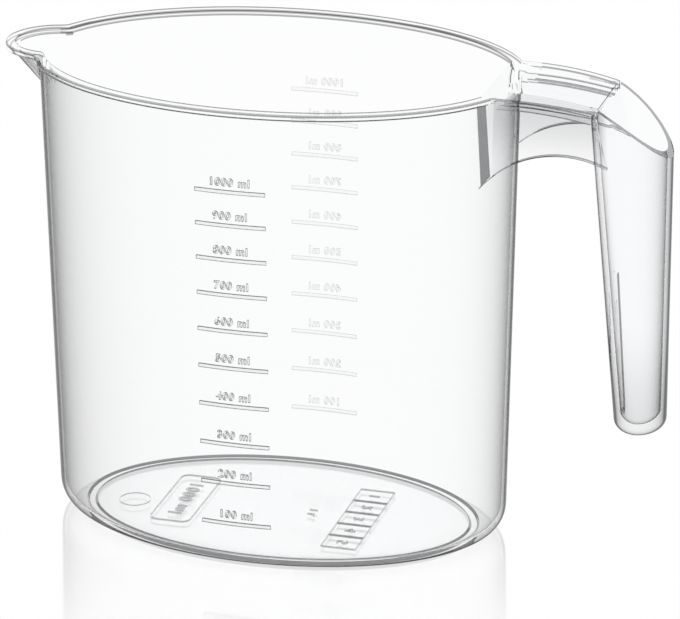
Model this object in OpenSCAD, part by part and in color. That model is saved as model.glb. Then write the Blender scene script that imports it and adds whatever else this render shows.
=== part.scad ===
// Oval one litre measuring jug with a pouring spout and a hollow grip.
// The real jug is one moulding of clear plastic. It is divided here where its
// wall changes direction, so that each region of the moulding is its own solid.
// The origin is the middle of the foot on the table, +X points to the grip.

/* [Vessel] */
// Height from the table to the top of the rim
jug_h = 138.7; // [120:0.1:160]
// Half length of the wall just above the rounded bottom edge
base_half_l = 66.6; // [60:0.1:75]
// Half width of the wall just above the rounded bottom edge
base_half_w = 43.5; // [40:0.1:50]
// How far the wall leans outward between there and the rim
wall_lean = 2.6; // [1:0.1:4]
// Thickness of the moulded wall
wall_t = 1.4; // [1:0.1:2]
// Height of the rounded bottom edge above the table
knuckle_h = 9.2; // [7:0.1:12]

/* [Foot] */
// Half length of the ring that the jug stands on
foot_half_l = 58.6; // [54:0.1:60]
// Half width of the ring that the jug stands on
foot_half_w = 36.9; // [33:0.1:39]
// Width of that ring
foot_ring_w = 2.6; // [1.5:0.1:4]
// Height of that ring, which lifts the floor off the table
foot_ring_h = 0.9; // [0.6:0.1:2]
// Thickness of the floor
floor_t = 1.6; // [1.2:0.1:2.4]

/* [Rim] */
// How far the rim stands out from the wall
rim_out = 1.9; // [1:0.1:3]
// Height of the rim
rim_h = 1.8; // [1.4:0.1:3]

/* [Spout] */
// How far the centre of the round lip lies inside the wall's face
lip_centre_in = 3.1; // [1.5:0.1:5]
// Outer radius of the round lip
lip_r = 14.3; // [13:0.1:16]
// How far the lip stands out from the channel under it
lip_out = 1.5; // [0.4:0.1:2.6]
// Height over which the channel closes to a point on the wall
channel_h = 11.8; // [9:0.1:16]
// Radius at the foot of the channel
channel_foot_r = 1.7; // [1.5:0.1:3]
// Distance that the channel's foot lies inside the wall
channel_foot_in = 0.6; // [0:0.1:1.2]

/* [Bridge] */
// Half distance between the outer edges of the two flanges at the rim
flange_half_w = 17.6; // [17:0.1:19]
// Half distance between the same edges at the grip
flange_end_half_w = 15.4; // [15:0.1:16.8]
// Half distance between the inner edges of the two flanges
recess_half_w = 11; // [8:0.1:11.5]
// Thickness of the flanges
flange_t = 1.9; // [1.4:0.1:2.4]
// Half distance between the outer faces of the two cheeks
cheek_half_w = 15.4; // [15:0.1:16]
// Thickness of the bridge's walls
bridge_t = 1.6; // [1.2:0.1:1.8]
// Depth of the recess between the flanges
recess_d = 3.2; // [2.4:0.1:4.4]
// Length of the bridge, from the wall to the grip's opening
bridge_l = 25.5; // [23:0.1:29]
// How far the bridge's top drops on its way from the rim to the grip
bridge_drop = 2.5; // [0.4:0.1:3]
// Distance from the wall to the middle of the finger arch
arch_reach = 16.8; // [15:0.1:19]
// Radius of the finger arch
arch_r = 30; // [28:0.1:32]
// How far the top of the finger arch lies below the rim's top
arch_below = 15.9; // [13:0.1:19]
// How far the end of a cheek leans outward along the grip below the flange
cheek_lean = 3.6; // [2:0.1:5]
// How far a cheek flares where its top meets the wall
flare_w = 2.4; // [1:0.1:3]

/* [Grip] */
// How far the bridge laps over the flat face at the grip's top
grip_lap = 2.7; // [1.8:0.1:3.6]
// Depth of the grip at its top, from that flat face to its outer face
grip_depth = 21.4; // [19:0.1:25]
// Half width of the grip at its top
grip_half_w = 14.4; // [14.1:0.1:14.9]
// Radius of the two upright corners beside that flat face
grip_corner_r = 4.2; // [3:0.1:5]
// Slope of the cut across the grip's open top, in degrees
opening_slope = 42.4; // [35:0.1:48]
// How far past the bridge's end that cut begins
opening_lead = 0.5; // [0:0.1:1]
// Height of the grip's closed end above the table
grip_end_h = 39.4; // [34:0.1:55]
// Half length of the closed end, from front to back of the jug's long axis
end_half_l = 7.4; // [6:0.1:9]
// Half width of the closed end
end_half_w = 9.4; // [8:0.1:11]
// Radius of the rounding round the closed end
end_round_r = 4; // [3:0.1:5]
// Thickness of the grip's wall
grip_t = 1.7; // [1.3:0.1:2.2]
// Thickness of the closed end
end_t = 2.6; // [2:0.1:4]

/* [Grip rib] */
// Height of the rib's top above the table
rib_top_h = 85; // [70:0.1:95]
// Thickness of the rib
rib_t = 1.5; // [1:0.1:2.5]
// How far the rib stands into the hollow
rib_d = 2.4; // [1.5:0.1:3]

/* [Scale] */
// Height of the 100 ml mark above the table
mark_first_h = 14.7; // [12:0.1:18]
// Height of the 1000 ml mark above the table
mark_last_h = 114.7; // [100:0.1:118]
// Number of marks
mark_count = 10; // [5:1:10]
// How much closer than even the marks stand at the wide top, as a share
mark_crowding_share = 0.13; // [0:0.01:0.2]
// Length of a mark
mark_l = 20.2; // [12:0.1:30]
// Height of a mark
mark_w = 1.1; // [0.8:0.1:1.6]
// How far a mark stands out from the wall
mark_out = 0.35; // [0.2:0.05:0.6]

/* [Hidden] */
$fn = 96;

// Thickness of the leaves that a hull is stretched over, small against any wall
leaf = wall_t / 100;
// Overrun of every cutting shape past the face that it opens
cut = wall_t / 2;

rim_z = jug_h - rim_h;
top_half_l = base_half_l + wall_lean;
top_half_w = base_half_w + wall_lean;
rim_half_l = top_half_l + rim_out;
rim_half_w = top_half_w + rim_out;
lip_x = top_half_l - lip_centre_in;
bridge_end_x = top_half_l + bridge_l;
arch_x = top_half_l + arch_reach;
arch_top_h = jug_h - arch_below;
grip_flat_x = bridge_end_x - grip_lap;
grip_nose_x = grip_flat_x + grip_depth;

// Steps round the quarter circle of a rounded edge, in degrees
ROUND_STEPS = [0:18:90];

// Plan shapes
// An oval with half length a along X and half width b along Y
module oval(a, b) {
    polygon([for (k = [0:$fn - 1]) [a * cos(360 * k / $fn), b * sin(360 * k / $fn)]]);
}

// A straight tapered oval solid from z1 to z2
module tapered_oval(a1, b1, a2, b2, z1, z2) {
    translate([0, 0, z1])
        linear_extrude(height = z2 - z1, scale = [a2 / a1, b2 / b1], slices = 1)
            oval(a1, b1);
}

// Half axes of the wall's outer face at height z
function lean_at(z) = wall_lean * (z - knuckle_h) / (rim_z - knuckle_h);
function wall_a(z) = base_half_l + lean_at(z);
function wall_b(z) = base_half_w + lean_at(z);

// The space inside the wall's face, moved by inset, between two heights
module wall_envelope(inset, z1, z2) {
    tapered_oval(wall_a(z1) - inset, wall_b(z1) - inset,
        wall_a(z2) - inset, wall_b(z2) - inset, z1, z2);
}

// Everything that the vessel and the rim fill, with the space inside them
module vessel_body() {
    wall_envelope(0, knuckle_h, rim_z + leaf);
    translate([0, 0, rim_z])
        linear_extrude(height = rim_h + cut)
            oval(rim_half_l, rim_half_w);
}

// Rounded bottom edge as a convex bowl, from the foot up to the wall.
// Its lower edge starts at height z and it is moved inward by inset.
module bowl(inset, z) {
    hull()
        for (step = ROUND_STEPS)
            let (out = sin(step), up = 1 - cos(step))
                translate([0, 0, z + (knuckle_h - leaf - z) * up])
                    linear_extrude(height = leaf)
                        oval(foot_half_l - inset + (base_half_l - foot_half_l) * out,
                            foot_half_w - inset + (base_half_w - foot_half_w) * out);
}

// Vessel
module vessel_wall() {
    color("whitesmoke")
        difference() {
            wall_envelope(0, knuckle_h, rim_z);
            wall_envelope(wall_t, knuckle_h - cut, rim_z + cut);
            channel_space();
        }
}

module vessel_floor() {
    color("gainsboro")
        difference() {
            bowl(0, foot_ring_h);
            bowl(wall_t, foot_ring_h + floor_t);
            wall_envelope(wall_t, knuckle_h - leaf - leaf, knuckle_h + cut);
        }
}

module foot_ring() {
    color("silver")
        linear_extrude(height = foot_ring_h)
            difference() {
                oval(foot_half_l, foot_half_w);
                oval(foot_half_l - foot_ring_w, foot_half_w - foot_ring_w);
            }
}

module rim_flange() {
    color("white")
        difference() {
            translate([0, 0, rim_z])
                linear_extrude(height = rim_h)
                    oval(rim_half_l, rim_half_w);
            translate([0, 0, rim_z - cut])
                linear_extrude(height = rim_h + cut + cut)
                    oval(top_half_l - wall_t, top_half_w - wall_t);
            lip_space();
        }
}

// Spout
channel_top_r = lip_r - lip_out;
channel_foot_z = rim_z - channel_h;
channel_foot_x = wall_a(channel_foot_z) - channel_foot_in;

// A leaning cone from the wall up to the lip, thinner than the channel by inset
module channel_cone(inset) {
    hull() {
        translate([-lip_x, 0, rim_z - leaf])
            cylinder(r = channel_top_r - inset, h = leaf);
        translate([-channel_foot_x, 0, channel_foot_z + inset])
            cylinder(r = channel_foot_r, h = leaf);
    }
}

// The round opening in the rim
module lip_space() {
    translate([-lip_x, 0, rim_z - leaf - leaf])
        cylinder(r = channel_top_r - wall_t, h = rim_h + cut);
}

// What the water runs through
module channel_space() {
    channel_cone(wall_t);
    lip_space();
}

module pouring_spout() {
    color("whitesmoke")
        difference() {
            union() {
                channel_cone(0);
                translate([-lip_x, 0, rim_z])
                    cylinder(r = lip_r, h = rim_h);
            }
            channel_space();
            vessel_body();
        }
}

// Bridge between the rim and the grip
bridge_x1 = top_half_l - wall_lean - rim_out;
bridge_slices = 8;

// Height of the bridge's top at a distance x from the middle of the jug
function bridge_top(x) =
    jug_h - bridge_drop * pow(max(0, x - top_half_l) / bridge_l, 2);

// Side view of a plate that follows the bridge's top from x1 to x2,
// between the depths d1 and d2 below it
module bridge_profile(x1, x2, d1, d2) {
    xs = [for (k = [0:bridge_slices]) x1 + (x2 - x1) * k / bridge_slices];
    polygon(concat(
        [for (x = xs) [x, bridge_top(x) - d1]],
        [for (k = [bridge_slices:-1:0]) [xs[k], bridge_top(xs[k]) - d2]]));
}

// A side view stood upright and given its width from y1 to y2
module upright(y1, y2) {
    translate([0, y2, 0])
        rotate([90, 0, 0])
            linear_extrude(height = y2 - y1)
                children();
}

// Shallow tray between the flanges: a floor with two low upstands
module bridge_web() {
    tray_half_w = recess_half_w + bridge_t;
    color("whitesmoke")
        difference() {
            upright(-tray_half_w, tray_half_w)
                bridge_profile(bridge_x1, grip_flat_x, flange_t, recess_d + bridge_t);
            upright(-recess_half_w, recess_half_w)
                bridge_profile(bridge_x1 - cut, grip_flat_x + cut, flange_t - cut, recess_d);
            vessel_body();
        }
}

// Half width of the flanges at a distance x from the middle of the jug
function flange_edge(x) =
    flange_half_w - (flange_half_w - flange_end_half_w)
        * pow(max(0, x - top_half_l) / bridge_l, 2);

// Plan of one flange, straight inside and curved outside
module flange_plan(side) {
    xs = [for (k = [0:bridge_slices])
        bridge_x1 + (bridge_end_x - bridge_x1) * k / bridge_slices];
    polygon(concat(
        [[bridge_end_x, side * recess_half_w], [bridge_x1, side * recess_half_w]],
        [for (x = xs) [x, side * flange_edge(x)]]));
}

module bridge_flange(side) {
    color("white")
        difference() {
            intersection() {
                upright(-flange_half_w, flange_half_w)
                    bridge_profile(bridge_x1, bridge_end_x, 0, flange_t);
                translate([0, 0, jug_h - bridge_drop - flange_t - flange_t])
                    linear_extrude(height = bridge_drop + 3 * flange_t)
                        flange_plan(side);
            }
            vessel_body();
            grip_envelope(0);
        }
}

module bridge_flange_front() { bridge_flange(-1); }
module bridge_flange_back() { bridge_flange(1); }

// Side view of the arch and everything below it
module arch_space(arch_z) {
    translate([arch_x, arch_z])
        circle(r = arch_r);
    translate([arch_x - arch_r, arch_z - jug_h])
        square([arch_r + arch_r, jug_h]);
}

// Plan of the flare of width w where a cheek meets the wall
module flare_plan(side, w) {
    reach = top_half_l * sqrt(1 - pow(cheek_half_w / top_half_w, 2));
    inner_y = cheek_half_w - bridge_t;
    polygon([[reach - w - w, side * inner_y], [reach + w, side * inner_y],
        [reach + w, side * cheek_half_w], [reach, side * (cheek_half_w + w)],
        [reach - w - w, side * (cheek_half_w + w)]]);
}

// Wedge that widens a cheek along the wall, more at the top than at the arch
module cheek_flare(side) {
    hull() {
        translate([0, 0, arch_top_h - arch_r / 2])
            linear_extrude(height = leaf)
                flare_plan(side, flare_w / 2);
        translate([0, 0, jug_h - flange_t - leaf])
            linear_extrude(height = leaf)
                flare_plan(side, flare_w);
    }
}

// Upright wall under a flange, arched below for the fingers
module bridge_cheek(side) {
    y1 = side > 0 ? cheek_half_w - bridge_t : -cheek_half_w;
    arch_z = arch_top_h - arch_r;
    flange_z = bridge_top(bridge_end_x) - flange_t;
    color("whitesmoke")
        difference() {
            union() {
                upright(y1, y1 + bridge_t)
                    difference() {
                        bridge_profile(bridge_x1, bridge_end_x + cheek_lean,
                            flange_t, jug_h - arch_z);
                        polygon([[bridge_end_x, flange_z], [bridge_end_x, jug_h],
                            [bridge_end_x + arch_r, jug_h], [bridge_end_x + arch_r, arch_z],
                            [bridge_end_x + cheek_lean, arch_z + arch_r - cheek_lean]]);
                    }
                cheek_flare(side);
            }
            upright(-flange_half_w - flare_w, flange_half_w + flare_w)
                arch_space(arch_z);
            vessel_body();
            grip_envelope(0);
            opening_cut();
        }
}

module bridge_cheek_front() { bridge_cheek(-1); }
module bridge_cheek_back() { bridge_cheek(1); }

// Grip
// Middle of the oval that the top of the grip is cut from
grip_oval_x = grip_flat_x + grip_corner_r;
end_x = grip_nose_x - end_half_l;

// Plan of the grip's top: an oval whose side towards the jug is cut flat
module grip_top_plan(inset) {
    offset(r = grip_corner_r)
        offset(delta = -grip_corner_r)
            intersection() {
                translate([grip_oval_x, 0])
                    oval(grip_nose_x - grip_oval_x - inset, grip_half_w - inset);
                translate([grip_flat_x + inset, -grip_half_w])
                    square([grip_nose_x - grip_flat_x, grip_half_w + grip_half_w]);
            }
}

// Solid shape of the grip before it is cut open, made smaller by inset
module grip_envelope(inset) {
    low_z = grip_end_h + (inset > 0 ? end_t : 0);
    hull() {
        translate([0, 0, jug_h])
            linear_extrude(height = leaf)
                grip_top_plan(inset);
        for (step = ROUND_STEPS)
            let (out = end_round_r * (1 - sin(step)) + inset)
                translate([end_x, 0, low_z + end_round_r * (1 - cos(step))])
                    linear_extrude(height = leaf)
                        oval(end_half_l - out, end_half_w - out);
    }
}

// Half space above the slanting open top
module opening_cut() {
    reach = jug_h;
    translate([bridge_end_x + opening_lead, 0, bridge_top(bridge_end_x)])
        rotate([0, opening_slope, 0])
            translate([-reach / 2, -reach / 2, 0])
                cube([reach, reach, reach / 2]);
}

// Space above the bridge's top, which also trims the grip beside it
module bridge_sky() {
    upright(-grip_half_w - cut, grip_half_w + cut)
        bridge_profile(bridge_x1, bridge_end_x + cheek_lean, -jug_h, 0);
}

module grip_shell() {
    color("gainsboro")
        difference() {
            grip_envelope(0);
            grip_envelope(grip_t);
            opening_cut();
            bridge_sky();
            upright(-recess_half_w, recess_half_w)
                bridge_profile(bridge_x1, grip_flat_x + grip_t + cut, -jug_h, recess_d);
        }
}

// Thin rib on the inside of the grip's face towards the jug
module grip_rib() {
    reach = grip_nose_x - grip_flat_x;
    color("white")
        difference() {
            intersection() {
                grip_envelope(grip_t);
                translate([grip_flat_x, -rib_t / 2, grip_end_h])
                    cube([reach, rib_t, rib_top_h - grip_end_h]);
            }
            translate([rib_d, 0, -cut])
                grip_envelope(grip_t);
        }
}

// Scale
// Height of mark number k, counted from the lowest
function mark_z(k) =
    let (filled = k / (mark_count - 1))
        mark_first_h + (mark_last_h - mark_first_h)
            * (filled * (1 + mark_crowding_share) - filled * filled * mark_crowding_share);

// Raised bars on the front or back face of the wall
module scale_marks(side) {
    color("lightgray")
        for (k = [0:mark_count - 1])
            let (z = mark_z(k))
                intersection() {
                    difference() {
                        wall_envelope(-mark_out, z - mark_w / 2, z + mark_w / 2);
                        wall_envelope(0, z - mark_w, z + mark_w);
                    }
                    translate([-mark_l / 2, side > 0 ? 0 : -rim_half_w, z - mark_w])
                        cube([mark_l, rim_half_w, mark_w + mark_w]);
                }
}

module scale_marks_front() { scale_marks(-1); }
module scale_marks_back() { scale_marks(1); }

vessel_wall();
vessel_floor();
foot_ring();
rim_flange();
pouring_spout();
bridge_web();
bridge_flange_front();
bridge_flange_back();
bridge_cheek_front();
bridge_cheek_back();
grip_shell();
grip_rib();
scale_marks_front();
scale_marks_back();
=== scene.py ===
"""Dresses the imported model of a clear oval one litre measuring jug.

The jug is one moulding of clear plastic, so light must pass from one region of
it into the next without meeting a face. The regions are therefore modelled as
closed solids, welded to one shell, and the shell is then parted along the
seams of the regions: the pieces still meet exactly and have no faces between
them. All sizes are millimetres in the classes and metres in the meshes. The
origin is the middle of the foot, +X points to the grip and +Z is up.
"""

from __future__ import annotations

import logging
import math
import sys
from collections.abc import Callable, Iterable, Sequence
from dataclasses import dataclass, field, replace
from enum import Enum

import bmesh
import bpy
import numpy as np
from mathutils import Matrix, Vector

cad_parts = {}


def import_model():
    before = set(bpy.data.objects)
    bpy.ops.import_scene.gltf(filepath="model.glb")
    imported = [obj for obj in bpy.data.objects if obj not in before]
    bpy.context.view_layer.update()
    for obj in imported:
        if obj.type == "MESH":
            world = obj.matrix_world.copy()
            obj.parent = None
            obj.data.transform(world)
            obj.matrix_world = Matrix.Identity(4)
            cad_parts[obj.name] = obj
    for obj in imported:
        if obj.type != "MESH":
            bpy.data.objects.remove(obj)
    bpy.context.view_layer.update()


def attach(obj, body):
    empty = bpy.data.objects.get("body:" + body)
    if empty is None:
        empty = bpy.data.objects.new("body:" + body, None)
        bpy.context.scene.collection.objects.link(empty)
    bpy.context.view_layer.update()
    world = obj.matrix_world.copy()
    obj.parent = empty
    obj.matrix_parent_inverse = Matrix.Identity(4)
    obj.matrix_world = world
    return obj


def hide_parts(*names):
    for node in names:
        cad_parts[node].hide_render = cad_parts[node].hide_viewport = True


LOG = logging.getLogger("measuring_jug")
MM = 0.001
PHOTO_WIDTH = 680
CURVE_LIMIT = 0.45
SUPPORT_LIMIT = 0.48
CUT_REACH = 1e-7
WHITE = (1.0, 1.0, 1.0, 1.0)
Point = np.ndarray
Colour = tuple[float, float, float]
Vert = bmesh.types.BMVert
Face = bmesh.types.BMFace


class Side(Enum):
    """The two long faces of the jug, by the sign of Y."""

    FRONT = -1
    BACK = 1


class Region(Enum):
    """The regions that the welded shell is parted into, by material slot."""

    VESSEL = 0
    HANDLE = 1


class Kind(Enum):
    """The kinds of face on a parted piece, by material slot."""

    PLAIN = 0
    # Tight rounded edges and the grip's mouth, with painted shade.
    BRINK = 1
    # The foot ring's sides and the front cheek's chamfer, with deeper painted shade.
    SEAM = 2


class Outward(Enum):
    """The axis along which a raised mark stands out."""

    FROM_WALL = "Y"
    FROM_FLOOR = "Z"


class Weld(Enum):
    """What a boolean step does with its tool."""

    JOIN = "UNION"
    CUT = "DIFFERENCE"


# --------------------------------------------------------------------------
# Lines and lofts
# --------------------------------------------------------------------------


def blend(low: float, high: float, share: float) -> float:
    """Returns the value a share of the way from low to high."""
    return low + (high - low) * share


def eased(share: float) -> float:
    """Returns a share between 0 and 1 with a soft start and a soft end."""
    held = min(max(share, 0.0), 1.0)
    return held * held * (3 - 2 * held)


def placed(name: str, data: bpy.types.ID) -> bpy.types.Object:
    """Returns a linked object that shows some data."""
    made = bpy.data.objects.new(name, data)
    bpy.context.scene.collection.objects.link(made)
    return made


def mesh_data(mesh: bmesh.types.BMesh, name: str) -> bpy.types.Mesh:
    """Turns a worked bmesh into mesh data and frees it."""
    data = bpy.data.meshes.new(name)
    mesh.to_mesh(data)
    mesh.free()
    return data


def soften(
    mesh: bmesh.types.BMesh, edges: Sequence[bmesh.types.BMEdge], width: float
) -> None:
    """Rounds edges by a two step bevel.

    Args:
        mesh: The bmesh that holds the edges.
        edges: The edges.
        width: The bevel's offset in millimetres.
    """
    bmesh.ops.bevel(
        mesh,
        geom=edges,
        offset=width * MM,
        offset_type="OFFSET",
        segments=2,
        profile=0.5,
        affect="EDGES",
        clamp_overlap=True,
        material=-1,
    )


def rounded(
    corners: Sequence[Point],
    reach: Sequence[float],
    steps: int = 3,
    closed: bool = False,
) -> list[Point]:
    """Replaces corners of a line by short curves.

    Args:
        corners: The line's corners; the first and third numbers measure length.
        reach: How far from its corner each curve starts and ends.
        steps: Number of pieces in each curve.
        closed: Whether the last corner joins the first.

    Returns:
        The points of the rounded line, with a supporting point on each side of
        a curve so that shading stays even on the straight parts.
    """
    count = len(corners)
    line: list[Point] = []

    def gap(one: Point, other: Point) -> float:
        """Returns the distance of two corners."""
        return float(np.linalg.norm((other - one)[:3]))

    for index, corner in enumerate(corners):
        ends = (index == 0 or index == count - 1) and not closed
        before, after = corners[index - 1], corners[(index + 1) % count]
        if ends or reach[index] <= 0:
            line.append(corner)
            continue
        near_in = min(reach[index], gap(corner, before) * CURVE_LIMIT)
        near_out = min(reach[index], gap(corner, after) * CURVE_LIMIT)
        start = corner + (before - corner) * near_in / gap(corner, before)
        stop = corner + (after - corner) * near_out / gap(corner, after)
        support = min(1.5 * near_in / gap(corner, before), SUPPORT_LIMIT)
        line.append(corner + (before - corner) * support)
        for step in range(steps + 1):
            s = step / steps
            line.append(
                (1 - s) ** 2 * start + 2 * s * (1 - s) * corner + s * s * stop
            )
        support = min(1.5 * near_out / gap(corner, after), SUPPORT_LIMIT)
        line.append(corner + (after - corner) * support)
    return line


def divided(line: Sequence[Point], longest: Callable[[Point], float]) -> list[Point]:
    """Cuts the long stretches of a line.

    Args:
        line: The points of the line.
        longest: Gives the longest stretch allowed at a point.

    Returns:
        The points with further ones between them.
    """
    cut: list[Point] = [line[0]]
    for before, after in zip(line, line[1:]):
        span = float(np.linalg.norm((after - before)[:3]))
        pieces = max(1, math.ceil(span / longest((before + after) / 2)))
        cut += [before + (after - before) * k / pieces for k in range(1, pieces + 1)]
    return cut


class Solid:
    """A closed solid made of rings of points, or of a worked bmesh."""

    def __init__(self, name: str, region: Region = Region.VESSEL) -> None:
        """Starts an empty solid of one region of the shell."""
        self.name = name
        self.region = region
        self.mesh = bmesh.new()

    def ring(self, points: Sequence[Vector]) -> list[Vert]:
        """Makes the first ring of a loft from a circle.

        Args:
            points: The places of the ring's points in metres.

        Returns:
            The ring's points in order.
        """
        made = bmesh.ops.create_circle(self.mesh, segments=len(points), radius=1.0)
        ring = sorted(made["verts"], key=lambda vert: vert.index)
        for vert, place in zip(ring, points):
            vert.co = place
        return ring

    def draw_out(
        self, ring: Sequence[Vert], points: Sequence[Vector]
    ) -> list[Vert]:
        """Extrudes a ring of edges and sets the new ring in its place.

        Args:
            ring: The last ring's points in order.
            points: The places of the new ring in the same order.

        Returns:
            The new ring's points in order.
        """
        made = bmesh.ops.extrude_edge_only(self.mesh, edges=self.loop(ring))
        fresh = {g for g in made["geom"] if isinstance(g, Vert)}
        new_ring = []
        for vert, place in zip(ring, points):
            twin = next(
                e.other_vert(vert) for e in vert.link_edges if e.other_vert(vert) in fresh
            )
            twin.co = place
            new_ring.append(twin)
        return new_ring

    def loft(
        self,
        rings: Sequence[Sequence[Vector]],
        cap_start: bool = True,
        cap_end: bool = True,
    ) -> Solid:
        """Stretches the surface over rings of equal count.

        Args:
            rings: The rings' points in metres.
            cap_start: Whether the first ring is closed by a face.
            cap_end: Whether the last ring is closed by a face.

        Returns:
            This solid.
        """
        ring = self.ring(rings[0])
        if cap_start:
            bmesh.ops.contextual_create(self.mesh, geom=self.loop(ring))
        for points in rings[1:]:
            ring = self.draw_out(ring, points)
        if cap_end:
            bmesh.ops.contextual_create(self.mesh, geom=self.loop(ring))
        return self

    def loop(self, ring: Sequence[Vert]) -> list[bmesh.types.BMEdge]:
        """Returns the edges that join a ring's points."""
        return [
            self.mesh.edges.get((one, other))
            for one, other in zip(ring, [*ring[1:], ring[0]])
        ]

    def shift(self, step: Vector, verts: Sequence[Vert] | None = None) -> None:
        """Moves some points, or all, by a step in metres."""
        bmesh.ops.translate(self.mesh, verts=verts or self.mesh.verts, vec=step)

    def finish(self) -> bpy.types.Object:
        """Turns the faces outward and returns the solid as an object."""
        bmesh.ops.recalc_face_normals(self.mesh, faces=self.mesh.faces)
        for face in self.mesh.faces:
            face.smooth = True
            face.material_index = self.region.value
        open_edges = sum(1 for e in self.mesh.edges if len(e.link_faces) != 2)
        LOG.info(
            "solid %s: %d faces, %d open edges", self.name, len(self.mesh.faces), open_edges
        )
        return bpy.data.objects.new(self.name, mesh_data(self.mesh, self.name))


# --------------------------------------------------------------------------
# Shader expressions
# --------------------------------------------------------------------------


class Bench:
    """The node tree of a material or world, with one way of making a node."""

    def __init__(self, owner: bpy.types.Material | bpy.types.World) -> None:
        """Clears the owner's node tree."""
        self.owner = owner
        owner.use_nodes = True
        self.tree = owner.node_tree
        self.tree.nodes.clear()

    @classmethod
    def of_material(cls, name: str) -> Bench:
        """Returns the bench of a new material."""
        return cls(bpy.data.materials.new(name))

    def node(
        self,
        kind: str,
        settings: dict[str, object] | None = None,
        inputs: dict[str | int, object] | None = None,
    ) -> bpy.types.Node:
        """Makes one node.

        Args:
            kind: The node's type name.
            settings: Its own settings, such as an operation, which are set first.
            inputs: Values or links of its sockets, by name or number.

        Returns:
            The node.
        """
        made = self.tree.nodes.new(kind)
        for key, value in (settings or {}).items():
            setattr(made, key, value)
        for key, value in (inputs or {}).items():
            source = value.socket if isinstance(value, Signal) else value
            if isinstance(source, bpy.types.NodeSocket):
                self.tree.links.new(source, made.inputs[key])
            else:
                made.inputs[key].default_value = source
        return made

    def signal(
        self,
        kind: str,
        output: str | int = 0,
        settings: dict[str, object] | None = None,
        inputs: dict[str | int, object] | None = None,
    ) -> Signal:
        """Makes a node for one of its outputs.

        Args:
            kind: The node's type name.
            output: The output, by name or number.
            settings: Its own settings.
            inputs: Values or links of its sockets.

        Returns:
            The output as a signal.
        """
        return Signal(self, self.node(kind, settings, inputs).outputs[output])

    def mixed_colour(
        self,
        share: Signal,
        low: Colour | Signal,
        high: Colour | Signal,
    ) -> Signal:
        """Mixes two colours.

        Args:
            share: How much of the high colour there is.
            low: The colour, or the link of one, where the share is 0.
            high: The same where it is 1.

        Returns:
            The mixed colour.
        """
        ends = [c if isinstance(c, Signal) else (*c, 1.0) for c in (low, high)]
        made = self.node(
            "ShaderNodeMix", {"data_type": "RGBA"}, {0: share, 6: ends[0], 7: ends[1]}
        )
        return Signal(self, made.outputs[2])

    def seen(self) -> Signal:
        """Returns one where the camera, a reflection or clear plastic looks."""
        path = self.node("ShaderNodeLightPath")
        rays = ("Is Camera Ray", "Is Glossy Ray", "Is Transmission Ray")
        camera, glossy, through = (Signal(self, path.outputs[ray]) for ray in rays)
        return camera.at_least(glossy).at_least(through)

    def upright(self) -> Signal:
        """Returns one on upright surfaces and zero on lying ones."""
        normal = self.node("ShaderNodeTexCoord").outputs["Normal"]
        parts = self.node("ShaderNodeSeparateXYZ", inputs={0: normal})
        up = Signal(self, parts.outputs["Z"])
        return 1.0 - up * up

    def eased(self, value: Signal, start: float, stop: float) -> Signal:
        """Turns a value into a share with a soft start and a soft end.

        Args:
            value: The value.
            start: Where the share is 0.
            stop: Where the share is 1.

        Returns:
            The share.
        """
        return self.signal(
            "ShaderNodeMapRange",
            0,
            {"interpolation_type": "SMOOTHSTEP"},
            {"Value": value, "From Min": start, "From Max": stop},
        )

    def surface(self, shader: bpy.types.NodeSocket) -> bpy.types.Material:
        """Connects a shader to the output and returns the material."""
        self.node("ShaderNodeOutputMaterial", inputs={"Surface": shader})
        return self.owner


class Signal:
    """A number socket on which arithmetic makes Math nodes."""

    def __init__(self, bench: Bench, socket: bpy.types.NodeSocket) -> None:
        """Wraps one output socket."""
        self.bench = bench
        self.socket = socket

    def _math(self, operation: str, first: object, second: object) -> Signal:
        """Returns the outcome of one Math node."""
        return self.bench.signal(
            "ShaderNodeMath", 0, {"operation": operation}, {0: first, 1: second}
        )

    def __add__(self, other: object) -> Signal:
        """Returns the sum."""
        return self._math("ADD", self, other)

    def __radd__(self, other: object) -> Signal:
        """Returns the sum."""
        return self._math("ADD", other, self)

    def __sub__(self, other: object) -> Signal:
        """Returns the difference."""
        return self._math("SUBTRACT", self, other)

    def __rsub__(self, other: object) -> Signal:
        """Returns the difference from a number."""
        return self._math("SUBTRACT", other, self)

    def __mul__(self, other: object) -> Signal:
        """Returns the product."""
        return self._math("MULTIPLY", self, other)

    def __rmul__(self, other: object) -> Signal:
        """Returns the product."""
        return self._math("MULTIPLY", other, self)

    def __pow__(self, other: object) -> Signal:
        """Returns the power."""
        return self._math("POWER", self, other)

    def at_most(self, other: object) -> Signal:
        """Returns the smaller of the two."""
        return self._math("MINIMUM", self, other)

    def at_least(self, other: object) -> Signal:
        """Returns the larger of the two."""
        return self._math("MAXIMUM", self, other)


# --------------------------------------------------------------------------
# Finishes
# --------------------------------------------------------------------------


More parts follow.
